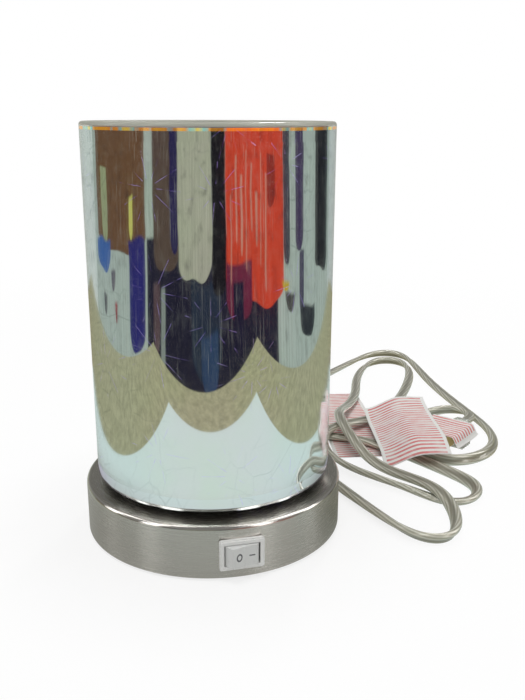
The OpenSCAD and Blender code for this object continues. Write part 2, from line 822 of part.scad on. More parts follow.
// Tapered, ribbed sleeve that keeps the cord from kinking at the bushing
module strain_relief() {
  rib_count = 4;
  rib_step = 3;
  nose_d = cord_w + 1.4;
  color("lightgray")
    at_exit()
      difference() {
        union() {
          translate([0, 0, -shell_t - relief_in])
            cylinder(d = sleeve_d, h = shell_t + relief_in + bushing_out + 1);
          translate([0, 0, bushing_out + 1])
            cylinder(d1 = sleeve_d + 1.6, d2 = nose_d, h = relief_len - bushing_out - 1);
        }
        for (i = [1:rib_count])
          translate([0, 0, bushing_out + i * rib_step])
            rib_groove(sleeve_d + 4, nose_d + 0.3 * (rib_count - i));
      }
}

// Ring-shaped cut between two ribs
module rib_groove(outer_d, inner_d) {
  difference() {
    cylinder(d = outer_d, h = 1.2, center = true);
    cylinder(d = inner_d - 0.8, h = 2, center = true);
  }
}

// The free cord, laid in loose loops beside the lamp
module power_cord() {
  line = smooth_path(route, cord_rings);
  centres = [for (p = line) [p[0], p[1], p[2] + half_height(p[3])]];
  rings = [
    for (i = [0:len(line) - 1])
      ring(centres, i, flat_section(cord_w, cord_t), line[i][3], [0, 0, 1])
  ];
  color("silver")
    skin(rings, centres);
}

// Places a child at the plug, its cord end at the origin and its blades along +X
module at_plug() {
  translate(plug_at)
    rotate([0, 0, plug_turn])
      children();
}

// Moulded plug: a ribbed sleeve that widens into a rounded body
module plug_body() {
  sleeve_w = cord_w + 2;
  sleeve_t = cord_t + 2.4;
  flare = 0.6;
  side_x = plug_sleeve_l + 1.5 * plug_shoulder_r;
  crown_x = plug_sleeve_l + 1.75 * plug_crown_r;
  end_x = plug_len - plug_edge_r;
  color("whitesmoke", 0.7)
    at_plug()
      difference() {
        intersection() {
          linear_extrude(plug_h, center = true)
            polygon(concat([[0, -sleeve_w / 2], [plug_sleeve_l, -sleeve_w / 2 - flare]],
              arc([side_x, -plug_w / 2 + plug_shoulder_r], plug_shoulder_r, 230, 270, 5),
              arc([end_x, -plug_w / 2 + plug_edge_r], plug_edge_r, 270, 360, 5),
              arc([end_x, plug_w / 2 - plug_edge_r], plug_edge_r, 0, 90, 5),
              arc([side_x, plug_w / 2 - plug_shoulder_r], plug_shoulder_r, 90, 130, 5),
              [[plug_sleeve_l, sleeve_w / 2 + flare], [0, sleeve_w / 2]]));
          rotate([90, 0, 0])
            linear_extrude(plug_w + 2, center = true)
              polygon(concat([[0, -sleeve_t / 2], [plug_sleeve_l, -sleeve_t / 2 - flare]],
                arc([crown_x, -plug_h / 2 + plug_crown_r], plug_crown_r, 220, 270, 5),
                arc([end_x, -plug_h / 2 + plug_edge_r], plug_edge_r, 270, 360, 5),
                arc([end_x, plug_h / 2 - plug_edge_r], plug_edge_r, 0, 90, 5),
                arc([crown_x, plug_h / 2 - plug_crown_r], plug_crown_r, 90, 140, 5),
                [[plug_sleeve_l, sleeve_t / 2 + flare], [0, sleeve_t / 2]]));
        }
        for (side = [-1, 1])
          translate([plug_len - 4, side * blade_gap / 2, 0])
            cube([10, 1.5 + 2 * fit_gap, 8.2], center = true);
        for (side = [-1, 1], i = [0:3])
          translate([side_x + 3 * i, side * (plug_w / 2 + 0.4), 0])
            cylinder(r = 1, h = plug_h + 2, center = true, $fn = 24);
      }
}

// Two flat contact blades, one wider than the other, each with its round hole
module plug_blades() {
  widths = [6.3, 7.9];
  hidden_l = 5;
  color("gold")
    at_plug()
      for (i = [0, 1])
        translate([plug_len - hidden_l, (2 * i - 1) * blade_gap / 2, 0])
          rotate([90, 0, 0])
            difference() {
              linear_extrude(1.5, center = true)
                polygon([[0, -widths[i] / 2], [hidden_l + blade_len - 2, -widths[i] / 2],
                  [hidden_l + blade_len, -widths[i] / 2 + 2], [hidden_l + blade_len, widths[i] / 2 - 2],
                  [hidden_l + blade_len - 2, widths[i] / 2], [0, widths[i] / 2]]);
              translate([hidden_l + blade_len - 4.5, 0, 0])
                cylinder(d = 3.1, h = 4, center = true, $fn = 48);
            }
}

// Strip of paper whose side view is a line of points, thickened upwards
module paper_strip(line, width) {
  linear_extrude(width, center = true)
    polygon(concat(line, [for (i = [len(line) - 1:-1:0]) line[i] + [0, paper_t]]));
}

// Side view of a strip that drapes over something: flat on top, drooping to a low edge on both sides
function drape(flat, fall, top, low) = concat(
  [for (i = [0:10]) [-flat / 2 - fall + fall * i / 10, low + (top - low) * ease(i / 10)]],
  [for (i = [0:10]) [flat / 2 + fall * i / 10, top + (low - top) * ease(i / 10)]]);

// Plain paper tag lying over the plug and its blades
module plug_tag() {
  color("white")
    at_plug()
      translate([plug_len + 3, 0, paper_lift - plug_h / 2])
        rotate([90, 0, 90])
          paper_strip(drape(plug_w + 1, 5, plug_h + 0.1, 0.55 * plug_h), plug_tag_w);
}

// Larger tag that leans from the plug's tag down over the cord
module cord_tag() {
  high = plug_h + paper_t + 0.8;
  low = cord_t + 2.9;
  reach = 20;
  line = concat([for (i = [0:10]) [-reach + 2.4 * i, low + (high - low) * ease(i / 10)]], [[reach, high]]);
  color("white")
    translate([136, 62, 0])
      rotate([0, 0, -12])
        rotate([90, 0, 0])
          paper_strip(line, cord_tag_w);
}

// Long tag that lies flat on the table under the cord
module flat_tag() {
  color("white")
    translate([114, 108, paper_lift])
      rotate([0, 0, -9.5])
        linear_extrude(paper_t)
          round_rect(flat_tag_w, 118, 3);
}

base_shell();
bottom_cover();
cover_posts();
cover_screws();
rubber_feet();
glass_seat();
glass_shade();
clamp_ring();
holder_body();
holder_shell();
holder_contact();
threaded_stem();
stem_nuts();
stem_washer();
bulb_contact();
bulb_insulator();
bulb_cap();
bulb_glass();
bulb_mount();
bulb_filaments();
switch_housing();
switch_rocker();
switch_plunger();
switch_spring();
switch_arm();
switch_terminals();
cord_lead();
switched_lead();
neutral_lead();
cord_bushing();
strain_relief();
power_cord();
plug_body();
plug_blades();
plug_tag();
cord_tag();
flat_tag();
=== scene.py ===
# %% [markdown]
# # A mirror-glass table lamp
# This lesson dresses a small table lamp: a clear glass cylinder with a mirror coating on its inner wall,
# a low brushed-metal base with a white rocker switch, and a clear two-core cord that lies in loose loops.
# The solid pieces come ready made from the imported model, so the work here is the camera, the cord, the
# paper tags, the finishes and the light.

# %% Load the solid pieces
import json
import math

import bmesh
import bpy
import numpy as np
from mathutils import Matrix, Vector
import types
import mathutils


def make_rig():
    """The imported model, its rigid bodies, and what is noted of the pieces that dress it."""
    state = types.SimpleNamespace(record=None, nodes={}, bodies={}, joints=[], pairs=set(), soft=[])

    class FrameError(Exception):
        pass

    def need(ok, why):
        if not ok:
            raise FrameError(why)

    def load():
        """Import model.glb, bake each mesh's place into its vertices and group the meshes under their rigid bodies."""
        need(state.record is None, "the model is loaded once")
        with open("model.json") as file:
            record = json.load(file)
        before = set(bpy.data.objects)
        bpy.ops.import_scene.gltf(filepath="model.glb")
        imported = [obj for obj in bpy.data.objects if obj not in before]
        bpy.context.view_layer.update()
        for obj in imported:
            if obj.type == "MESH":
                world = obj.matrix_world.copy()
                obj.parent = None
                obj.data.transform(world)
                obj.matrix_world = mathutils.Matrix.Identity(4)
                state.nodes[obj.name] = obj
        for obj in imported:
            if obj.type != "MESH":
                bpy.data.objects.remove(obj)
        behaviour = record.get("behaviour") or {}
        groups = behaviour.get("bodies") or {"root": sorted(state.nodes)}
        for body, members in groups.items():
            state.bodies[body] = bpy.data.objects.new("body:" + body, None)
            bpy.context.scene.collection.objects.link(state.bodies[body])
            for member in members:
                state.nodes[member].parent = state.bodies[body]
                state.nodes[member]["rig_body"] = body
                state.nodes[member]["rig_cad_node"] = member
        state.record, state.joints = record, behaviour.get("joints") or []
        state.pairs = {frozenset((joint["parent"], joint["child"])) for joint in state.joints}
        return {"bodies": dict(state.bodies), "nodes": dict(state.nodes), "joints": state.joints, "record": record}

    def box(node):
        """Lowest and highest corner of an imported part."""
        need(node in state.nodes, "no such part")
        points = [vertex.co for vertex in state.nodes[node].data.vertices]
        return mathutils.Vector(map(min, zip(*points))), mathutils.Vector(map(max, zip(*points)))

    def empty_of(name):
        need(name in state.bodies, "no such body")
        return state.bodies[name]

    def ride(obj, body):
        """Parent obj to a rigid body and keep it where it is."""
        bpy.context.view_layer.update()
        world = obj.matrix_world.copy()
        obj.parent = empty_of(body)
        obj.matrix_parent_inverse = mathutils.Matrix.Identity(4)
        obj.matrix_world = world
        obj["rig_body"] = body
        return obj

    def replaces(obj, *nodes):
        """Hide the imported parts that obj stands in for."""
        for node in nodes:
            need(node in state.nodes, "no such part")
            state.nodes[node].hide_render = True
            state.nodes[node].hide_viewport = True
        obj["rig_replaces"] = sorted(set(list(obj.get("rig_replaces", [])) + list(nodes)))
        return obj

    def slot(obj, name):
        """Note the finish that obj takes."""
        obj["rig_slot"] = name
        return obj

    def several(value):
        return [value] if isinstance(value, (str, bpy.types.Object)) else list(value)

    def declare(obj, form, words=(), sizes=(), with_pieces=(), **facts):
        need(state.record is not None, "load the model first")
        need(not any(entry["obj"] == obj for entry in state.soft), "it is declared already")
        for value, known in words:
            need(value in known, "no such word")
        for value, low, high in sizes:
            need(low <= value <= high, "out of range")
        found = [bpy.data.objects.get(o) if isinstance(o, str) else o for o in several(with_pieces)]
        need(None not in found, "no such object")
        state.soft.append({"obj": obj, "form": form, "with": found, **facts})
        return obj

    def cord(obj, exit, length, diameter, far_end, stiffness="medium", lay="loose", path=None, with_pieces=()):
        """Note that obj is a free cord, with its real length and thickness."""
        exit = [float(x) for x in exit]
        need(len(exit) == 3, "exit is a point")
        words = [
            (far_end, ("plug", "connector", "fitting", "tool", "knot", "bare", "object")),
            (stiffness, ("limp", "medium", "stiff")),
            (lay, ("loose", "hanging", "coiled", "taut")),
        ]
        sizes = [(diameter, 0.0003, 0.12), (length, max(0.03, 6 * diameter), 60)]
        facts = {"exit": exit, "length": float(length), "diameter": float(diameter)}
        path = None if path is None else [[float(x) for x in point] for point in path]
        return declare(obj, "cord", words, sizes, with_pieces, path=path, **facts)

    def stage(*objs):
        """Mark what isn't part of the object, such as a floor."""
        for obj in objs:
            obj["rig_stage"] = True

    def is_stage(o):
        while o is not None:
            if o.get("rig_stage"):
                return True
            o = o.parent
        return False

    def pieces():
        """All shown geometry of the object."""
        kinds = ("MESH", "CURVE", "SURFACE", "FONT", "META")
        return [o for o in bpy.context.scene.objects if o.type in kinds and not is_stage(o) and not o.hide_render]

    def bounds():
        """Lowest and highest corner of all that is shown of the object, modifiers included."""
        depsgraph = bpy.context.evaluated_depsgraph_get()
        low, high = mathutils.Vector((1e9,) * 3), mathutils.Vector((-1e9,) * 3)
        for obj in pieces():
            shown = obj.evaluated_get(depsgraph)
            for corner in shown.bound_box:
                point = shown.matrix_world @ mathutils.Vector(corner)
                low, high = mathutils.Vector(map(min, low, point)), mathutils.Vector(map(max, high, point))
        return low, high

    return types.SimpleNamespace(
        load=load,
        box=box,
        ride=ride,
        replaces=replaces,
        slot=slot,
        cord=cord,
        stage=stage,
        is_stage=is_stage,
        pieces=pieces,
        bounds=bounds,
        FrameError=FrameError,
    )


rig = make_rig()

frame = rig.load()
cad_box = [list(corner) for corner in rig.bounds()]
nodes = frame["nodes"]
MM = 0.001
print("solid pieces:", len(nodes), "bodies:", sorted(frame["bodies"]))

# %% [markdown]
# ## Camera
# The camera stands a little left of the switch, about as high as the rim of the glass, and looks down a
# little. Its place was solved from edges of known size: the base, the rim of the glass and the switch.
# The long side of the picture takes the whole sensor width, so the lens follows from pixels.

# %% Place the camera
PICTURE = (525, 700)
SENSOR = 36.0
FOCAL_PIXELS = 814.6
CAMERA_AT = Vector((-71.91, -388.42, 205.44)) * MM
YAW, PITCH, ROLL = (math.radians(a) for a in (14.161, 16.203, 0.156))

ahead = Vector((math.sin(YAW) * math.cos(PITCH), math.cos(YAW) * math.cos(PITCH), -math.sin(PITCH)))
right = Vector((math.cos(YAW), -math.sin(YAW), 0))
up = right.cross(ahead)
right, up = math.cos(ROLL) * right + math.sin(ROLL) * up, math.cos(ROLL) * up - math.sin(ROLL) * right

camera_data = bpy.data.cameras.new("camera")
camera_data.sensor_width = SENSOR
camera_data.lens = FOCAL_PIXELS * SENSOR / max(PICTURE)
camera_data.clip_start = 0.01
camera = bpy.data.objects.new("camera", camera_data)
bpy.context.collection.objects.link(camera)
camera.matrix_world = Matrix.Translation(CAMERA_AT) @ Matrix((right, up, -ahead)).transposed().to_4x4()
bpy.context.scene.camera = camera
print("lens", round(camera_data.lens, 2), "mm")

# %% [markdown]
# ## Shader helpers
# A finish is a small network of nodes. Wrapping each socket in a class lets the maths be written as plain
# expressions, so that `1 - mask` adds the node that it needs. Every node comes from one method that takes
# its type, its settings and its inputs.

# %% A socket that can be calculated with
class Wire:
    def __init__(self, finish, socket):
        self.finish = finish
        self.socket = socket

    def maths(self, operation, *others):
        return self.finish.maths(operation, self, *others)

    def __add__(self, other):
        return self.maths("ADD", other)

    def __radd__(self, other):
        return self.maths("ADD", other)

    def __sub__(self, other):
        return self.maths("SUBTRACT", other)

    def __rsub__(self, other):
        return self.finish.maths("SUBTRACT", other, self)

    def __mul__(self, other):
        return self.maths("MULTIPLY", other)

    def __rmul__(self, other):
        return self.maths("MULTIPLY", other)

    def __truediv__(self, other):
        return self.maths("DIVIDE", other)

    def __gt__(self, other):
        return self.maths("GREATER_THAN", other)

    def __lt__(self, other):
        return self.maths("LESS_THAN", other)

    def __abs__(self):
        return self.maths("ABSOLUTE")

    def clamp(self):
        return self.maths("MAXIMUM", 0.0).maths("MINIMUM", 1.0)

    def steps(self, low, high):
        return self.finish.node("ShaderNodeMapRange", {"interpolation_type": "SMOOTHSTEP"},
                                {"Value": self, "From Min": low, "From Max": high})[0]


class Outputs:
    def __init__(self, finish, sockets):
        self.finish = finish
        self.sockets = sockets

    def __getitem__(self, key):
        return Wire(self.finish, self.sockets[key])

    def __iter__(self):
        return (Wire(self.finish, socket) for socket in self.sockets)


print("socket helpers ready")

# %% [markdown]
# The class below owns the node tree of one material, or of the world. Its short methods name the nodes
# that come up again and again: noise, mixing, the shiny surface and the place of a point on the piece.

# %% A finish and its nodes
def set_stops(ramp, stops):
    while len(ramp.elements) < len(stops):
        ramp.elements.new(0.5)
    for element, (place, colour) in zip(ramp.elements, stops):
        element.position = place
        element.color = (*colour, 1.0)


class Finish:
    def __init__(self, owner):
        owner.use_nodes = True
        self.owner = owner
        self.tree = owner.node_tree
        self.tree.nodes.clear()

    def node(self, kind, settings=None, sockets=None):
        made = self.tree.nodes.new(kind)
        for key, value in (settings or {}).items():
            if key == "stops":
                set_stops(made.color_ramp, value)
            else:
                setattr(made, key, value)
        for key, value in (sockets or {}).items():
            slot = made.inputs[key]
            if isinstance(value, Wire):
                self.tree.links.new(value.socket, slot)
            else:
                slot.default_value = (*value, 1.0) if slot.type == "RGBA" else value
        return Outputs(self, made.outputs)

    def maths(self, operation, *values):
        return self.node("ShaderNodeMath", {"operation": operation}, dict(enumerate(values)))[0]

    def place(self):
        return self.node("ShaderNodeTexCoord")["Object"]

    def parts(self, vector):
        return self.node("ShaderNodeSeparateXYZ", None, {0: vector})

    def round_axis(self, at):
        x, y, z = self.parts(at)
        return (x * x + y * y).maths("SQRT"), y.maths("ARCTAN2", x), z

    def vector(self, x=0.0, y=0.0, z=0.0):
        return self.node("ShaderNodeCombineXYZ", None, {0: x, 1: y, 2: z})[0]

    def noise(self, at, scale, detail=2.0, rough=0.5):
        return self.node("ShaderNodeTexNoise", None,
                         {"Vector": at, "Scale": scale, "Detail": detail, "Roughness": rough})[0]

    def mix(self, factor, low, high):
        return self.node("ShaderNodeMix", {"data_type": "RGBA"}, {0: factor, 6: low, 7: high})[2]

    def bump(self, height, strength, distance):
        return self.node("ShaderNodeBump", None,
                         {"Strength": strength, "Distance": distance, "Height": height})[0]

    def gloss(self, **sockets):
        named = {key.replace("_", " "): value for key, value in sockets.items()}
        return self.node("ShaderNodeBsdfPrincipled", None, named)[0]

    def glow(self, colour):
        return self.node("ShaderNodeEmission", None, {"Color": colour, "Strength": 1.0})[0]

    def mix_shaders(self, factor, low, high):
        return self.node("ShaderNodeMixShader", None, {0: factor, 1: low, 2: high})[0]

    def done(self, shader):
        self.node("ShaderNodeOutputMaterial", None, {"Surface": shader})
        return self.owner


def new_finish(name):
    return Finish(bpy.data.materials.new(name))


def paint(material, *names):
    for name in names:
        mesh = nodes[name].data
        mesh.materials.clear()
        mesh.materials.append(material)
    print("finish", material.name, "on", ", ".join(names))


print("finish helpers ready")

# %% [markdown]
# ## The cord
# The cord is a flat pair of stranded cores in clear plastic. It could be a curve with a bevel, but a flat
# section would then turn with the curve's own twist. A tube of rings lets each ring lie flat or stand on
# edge as it does in life. The route is the same list of points that the solid cord follows, in
# millimetres here and scaled once: across, along, lift above the table, and roll in degrees.

# %% The cord's route
CORD_WIDE, CORD_THICK = 7.0 * MM, 3.6 * MM
RINGS_PER_POINT = 12
ROUTE = np.array([
    [0, 85.5, 9.2, 0], [0, 107.5, 9.2, 0], [13, 135, 5, 35], [34, 131, 1, 60],
    [50, 113, 0, 40], [59, 80, 0, 20], [67, 43, 0, 5], [75, 6, 0, 10],
    [84, -32, 0, 30], [92, -57, 0, 50], [108, -62, 0.1, 60], [119, -47, 2, 45],
    [124, -17, 5.8, 0], [116, 9, 1.5, 15], [102, 34, 0.5, 10], [100, 69, 8.4, 0],
    [102, 100, 10.7, 0], [119, 126, 1.9, 5], [137, 152, 1.3, 5], [148, 185, 0.3, 15],
    [165, 216, 0.1, 35], [183, 233, 0, 60], [200, 231, 0, 65], [206, 214, 0, 50],
    [196, 187, 0, 25], [177, 155, 0.1, 10], [156, 126, 0.1, 5], [132, 102, 1.1, 15],
    [104, 92, 4.8, 0], [84, 78, 5.9, 0], [79, 51, 1.4, 45], [90, 26, 0.1, 35],
    [110, 0, 0.1, 30], [123, -23, 0, 0], [140, -25, 0, 30], [151, -10, 0, 55],
    [143, 13, 0.1, 35], [126, 45, 1, 20], [112, 72, 1, 0], [85, 85, 1, 0],
    [65, 104, 0.1, 45], [64, 129, 0, 35], [77, 156, 0, 20], [99, 182, 0, 5],
    [128, 205, 0, 5], [157, 230, 0, 20], [182, 251, 0, 40], [203, 255, 0, 55],
    [215, 241, 0, 50], [212, 213, 0, 25], [206, 177, 0, 10], [203, 139, 0, 5],
    [202, 103, 0, 10], [201, 69, 0, 25], [190, 41, 0, 45], [170, 25, 0, 70],
    [148, 24, 0, 80], [134, 41, 0, 75], [134, 67, 0, 70], [147, 92, 0, 70],
    [170, 105, 0, 75], [191, 105, 2.5, 75], [198, 85, 5, 0], [184, 74, 5, 0],
], float) * [MM, MM, MM, 1]


def smooth(points, steps):
    ends = np.vstack([2 * points[0] - points[1], points, 2 * points[-1] - points[-2]])
    line = []
    for i in range(len(points) - 1):
        a, b, c, d = ends[i:i + 4]
        for t in np.arange(steps) / steps:
            line.append(((1 - t) ** 3 * a + (3 * t ** 3 - 6 * t ** 2 + 4) * b
                         + (1 + 3 * t + 3 * t ** 2 - 3 * t ** 3) * c + t ** 3 * d) / 6)
    return np.array(line + [points[-1]])


def distances(path):
    return np.concatenate([[0], np.cumsum(np.linalg.norm(np.diff(path, axis=0), axis=1))])


line = smooth(ROUTE, RINGS_PER_POINT)
half_high = (CORD_WIDE - CORD_THICK) / 2 * abs(np.sin(np.radians(line[:, 3]))) + CORD_THICK / 2
cord_path = np.column_stack([line[:, :2], line[:, 2] + half_high])
cord_length = float(distances(cord_path)[-1])
print("cord length", round(cord_length, 3), "m in", len(line), "rings")

# %% [markdown]
# Each ring is two circles side by side with a waist between them. The ring's own axes come from the
# direction of travel and from the vertical. A UV layer keeps the distance along the cord and round its
# section, so that the strands inside can twist along it.

# %% Sweep the cord
SIDES = 20
LOBE = 112
WAIST = 0.66


def pair_section(wide, thick, sides):
    r = thick / 2
    m = wide / 2 - r
    lobe = np.radians(np.linspace(-LOBE, LOBE, sides // 2 - 1))
    right_lobe = [(m + r * math.cos(a), r * math.sin(a)) for a in lobe]
    return np.array([(0, -r * WAIST), *right_lobe, (0, r * WAIST), *[(-x, -y) for x, y in right_lobe]])


def rings_along(path, rolls, section):
    way = np.gradient(path, axis=0)
    way /= np.linalg.norm(way, axis=1)[:, None]
    side = np.cross(way, (0, 0, 1))
    side /= np.linalg.norm(side, axis=1)[:, None]
    rise = np.cross(side, way)
    turn = np.radians(rolls)[:, None]
    across = np.cos(turn) * side + np.sin(turn) * rise
    over = np.cos(turn) * rise - np.sin(turn) * side
    return path[:, None] + section[None, :, :1] * across[:, None] + section[None, :, 1:] * over[:, None]


def sweep(name, path, rolls, section):
    rings = rings_along(path, rolls, section)
    n, k = rings.shape[:2]
    squares = [(i, j) for i in range(n - 1) for j in range(k)]
    faces = [(i * k + j, i * k + (j + 1) % k, (i + 1) * k + (j + 1) % k, (i + 1) * k + j)
             for i, j in squares]
    faces += [tuple(range(k))[::-1], tuple(range((n - 1) * k, n * k))]
    mesh = bpy.data.meshes.new(name)
    mesh.from_pydata(rings.reshape(-1, 3).tolist(), [], faces)
    along = distances(path)
    spots = [(along[i + a], (j + b) / k) for i, j in squares for a, b in ((0, 0), (0, 1), (1, 1), (1, 0))]
    spots += [(0, j / k) for j in range(k)] + [(along[-1], j / k) for j in range(k)]
    mesh.uv_layers.new(name="along_round").data.foreach_set("uv", np.array(spots).ravel())
    mesh.shade_smooth()
    piece = bpy.data.objects.new(name, mesh)
    bpy.context.collection.objects.link(piece)
    return piece


cord = sweep("clear_cord", cord_path, line[:, 3], pair_section(CORD_WIDE, CORD_THICK, SIDES))
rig.ride(cord, "lamp")
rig.replaces(cord, "power_cord")
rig.slot(cord, "cord_clear")
print("cord faces", len(cord.data.polygons))

# %% [markdown]
# Clear plastic over tinned strands reads as silvery grey with an olive cast. Real strands could be
# modelled and covered with glass, but at this size they are thinner than a pixel. So they are light and
# dark lines that run nearly along the cord and turn slowly round it, with a clear coat for the wet shine of
# the plastic. The waist between the two cores is darker: partly the bare web with no strands in it, partly
# painted shade in the crease between the cores.

# %% Finish of the cord
STRAND_TWIST, STRANDS = 420.0, 20.0


def clear_cord_finish():
    f = new_finish("clear_cord")
    u, v, _ = f.parts(f.node("ShaderNodeUVMap", {"uv_map": "along_round"})[0])
    strand = (u * STRAND_TWIST + v * STRANDS * math.pi).maths("SINE") * 0.5 + 0.5
    waist = (v * 4.0 * math.pi).maths("COSINE").steps(0.30, 1.0)
    patch = f.noise(f.place(), 60.0)
    silver = f.mix(strand, (0.33, 0.312, 0.228), (0.70, 0.685, 0.59))
    # Painted shade: the waist between the cores is darkened, partly as the bare web with no strands, partly as shade
    # in the crease.
    waist_shaded = f.mix(waist * 0.80, silver, (0.17, 0.155, 0.10))
    colour = f.mix(patch * 0.25, waist_shaded, (0.60, 0.58, 0.50))
    return f.done(f.gloss(
        Base_Color=colour, Metallic=0.35, Roughness=0.30 + patch * 0.10, Coat_Weight=1.0,
        Coat_Roughness=0.05, Normal=f.bump(strand, 0.07, 0.0002)))


cord.data.materials.append(clear_cord_finish())
print("cord finish on", cord.name)

# %% [markdown]
# ## Paper tags
# Three plain paper tags lie with the cord: one draped over the plug, one leaning from it, one flat on the
# table. Real ones are thin sheets that keep a curl and a few soft creases. A cloth simulation could drape
# them, but it is slow and hard to steer. So each is a grid bent along the same line as its solid and then
# given small waves. The ends of a sheet may droop or lift on their own.

# %% Bend a sheet of paper
GRID = 60
PAPER_THICK = 0.15 * MM
PAPER_LIFT = 0.25 * MM
WAVE_RATE = 140
END_SHARE = 0.55


def ease(t):
    t = min(max(t, 0.0), 1.0)
    return t * t * (3 - 2 * t)


def draped(flat, fall, top, low):
    return lambda x: top + (low - top) * ease((abs(x) - flat / 2) / fall)


def leaning(start, run, low, high):
    return lambda x: low + (high - low) * ease((x - start) / run)


def bent_sheet(reach, wide, height, curl, ends, seed):
    waves = np.random.default_rng(seed).uniform(-1, 1, (4, 3))
    points = []
    for j in range(GRID + 1):
        y = wide * (j / GRID - 0.5)
        end = max(abs(y) / (wide / 2) - (1 - END_SHARE), 0.0) / END_SHARE
        for i in range(GRID + 1):
            x = reach * (2 * i / GRID - 1)
            wave = sum(w[0] * math.sin(WAVE_RATE * (1 + k * 0.7) * (x + w[1] * y) + 3 * w[2])
                       for k, w in enumerate(waves))
            z = height(x) + curl * (1 + wave / 3) / 2 + ends[y > 0] * end ** 2 + PAPER_LIFT
            points.append((x, y, z))
    row = GRID + 1
    faces = [(j * row + i, j * row + i + 1, (j + 1) * row + i + 1, (j + 1) * row + i)
             for j in range(GRID) for i in range(GRID)]
    return points, faces


def paper_tag(name, node, centre, turn, reach, wide, height, curl, ends, seed):
    points, faces = bent_sheet(reach, wide, height, curl, ends, seed)
    mesh = bpy.data.meshes.new(name)
    mesh.from_pydata(points, [], faces)
    ruler = mesh.uv_layers.new(name="ruler")
    for loop in mesh.loops:
        x, y, _ = points[loop.vertex_index]
        ruler.data[loop.index].uv = ((reach - abs(x)) / MM, (y + wide / 2) / MM)
    moved = Matrix.Translation(Vector((*centre, 0)) * MM)
    mesh.transform(moved @ Matrix.Rotation(math.radians(turn), 4, "Z"))
    mesh.shade_smooth()
    piece = bpy.data.objects.new(name, mesh)
    bpy.context.collection.objects.link(piece)
    thick = piece.modifiers.new("paper", "SOLIDIFY")
    thick.thickness = PAPER_THICK
    thick.offset = 1.0
    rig.ride(piece, "lamp")
    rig.replaces(piece, node)
    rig.slot(piece, "tag_paper")
    print(name, "faces", len(mesh.polygons))
    return piece


over_plug = draped(26 * MM, 5 * MM, 13.7 * MM, 7.5 * MM)
against_plug = leaning(-20 * MM, 24 * MM, 6.5 * MM, 14.8 * MM)
papers = [
    paper_tag("plug_paper", "plug_tag", (158.05, 53.61), 308.16, 18 * MM, 30 * MM,
              over_plug, 0.4 * MM, (0.6 * MM, 0.6 * MM), 3),
    paper_tag("cord_paper", "cord_tag", (136, 62), -12, 20 * MM, 80 * MM,
              against_plug, 1.6 * MM, (-5.0 * MM, 3.0 * MM), 8),
    paper_tag("flat_paper", "flat_tag", (114, 108), -9.5, 18 * MM, 118 * MM,
              lambda x: 0.0, 0.15 * MM, (0.0, 0.0), 5)]

# %% [markdown]
# The paper is white with plain red ruled lines and nothing else. The UV layer holds millimetres from the
# edge, so a line is simply the middle of each step of the ruler. A soft noise lets the red fade here and
# there.

# %% Finish of the paper
RULE_PITCH, RULE_HALF, PAPER_MARGIN = 3.3, 0.24, 2.2


def paper_finish():
    f = new_finish("tag_paper")
    u, v, _ = f.parts(f.node("ShaderNodeUVMap", {"uv_map": "ruler"})[0])
    fibre = f.noise(f.place(), 900.0, 3.0)
    cloud = f.noise(f.place(), 110.0)
    ruled = (abs((v / RULE_PITCH).maths("FRACT") - 0.5) < RULE_HALF) * (u > PAPER_MARGIN)
    faded = ruled * (0.45 + cloud.steps(0.30, 0.60) * 0.40)
    white = f.mix(fibre, (0.74, 0.73, 0.71), (0.84, 0.83, 0.81))
    colour = f.mix(faded, white, (0.62, 0.10, 0.10))
    return f.done(f.gloss(Base_Color=colour, Roughness=0.55 + fibre * 0.2,
                          Normal=f.bump(fibre, 0.2, 0.0002)))


paper = paper_finish()
for piece in papers:
    piece.data.materials.append(paper)
print("paper finish on", len(papers), "tags")

# %% [markdown]
# The cord carries its plug, its sleeve and the tags, so it is declared once with all of them.

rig.cord(cord, exit=tuple(cord_path[0]), length=cord_length, diameter=CORD_WIDE, far_end="plug",
        stiffness="limp", lay="loose", path=cord_path.tolist(),
        with_pieces=[nodes["plug_body"], nodes["plug_blades"], nodes["strain_relief"], *papers])
print("cord with", 3 + len(papers), "pieces")

# %% [markdown]
# ## Mirror glass
# The real cylinder is clear glass with a thin mirror coating on its inner wall, which stops a little
# below the rim. Two cylinders could stand for glass and coating, but the coating has no thickness. So one
# solid gets both shaders, told apart by where a point lies. Light enters the glass, meets the mirror and
# comes out again, which gives the clear bands along the edges without any drawing.
#
# The coating is old and worked on: etched bursts of short violet strokes, fine hairlines, and a net of
# craze lines. These are masks, made first.

# %% Marks in the mirror coating
glass_low, glass_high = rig.box("glass_shade")
GLASS_R = glass_high.x
GLASS_T = 3.0 * MM
BURST = 38.0 * MM
SPOKES = 5.0


def etched_bursts(f, angle, z):
    at = f.vector(angle * (GLASS_R / BURST), z / BURST)
    cell = f.node("ShaderNodeTexVoronoi", {"voronoi_dimensions": "2D"},
                  {"Vector": at, "Scale": 1.0, "Randomness": 0.9})
    here_x, here_y, _ = f.parts(at)
    mid_x, mid_y, _ = f.parts(cell["Position"])
    shade, _, _ = f.parts(cell["Color"])
    away = cell["Distance"]
    turn = (here_y - mid_y).maths("ARCTAN2", here_x - mid_x)
    spoke = abs((turn * SPOKES + shade * 6.0).maths("SINE")) * away
    worn = f.noise(at, 5.0, 3.0).steps(0.42, 0.62)
    return (spoke < 0.011) * (away > 0.10) * (away < shade * 0.25 + 0.25) * worn


def cracks(f, at, scale, wide):
    cell = f.node("ShaderNodeTexVoronoi", {"voronoi_dimensions": "2D", "feature": "DISTANCE_TO_EDGE"},
                  {"Vector": at, "Scale": scale})
    return 1 - cell["Distance"].steps(0.0, wide)


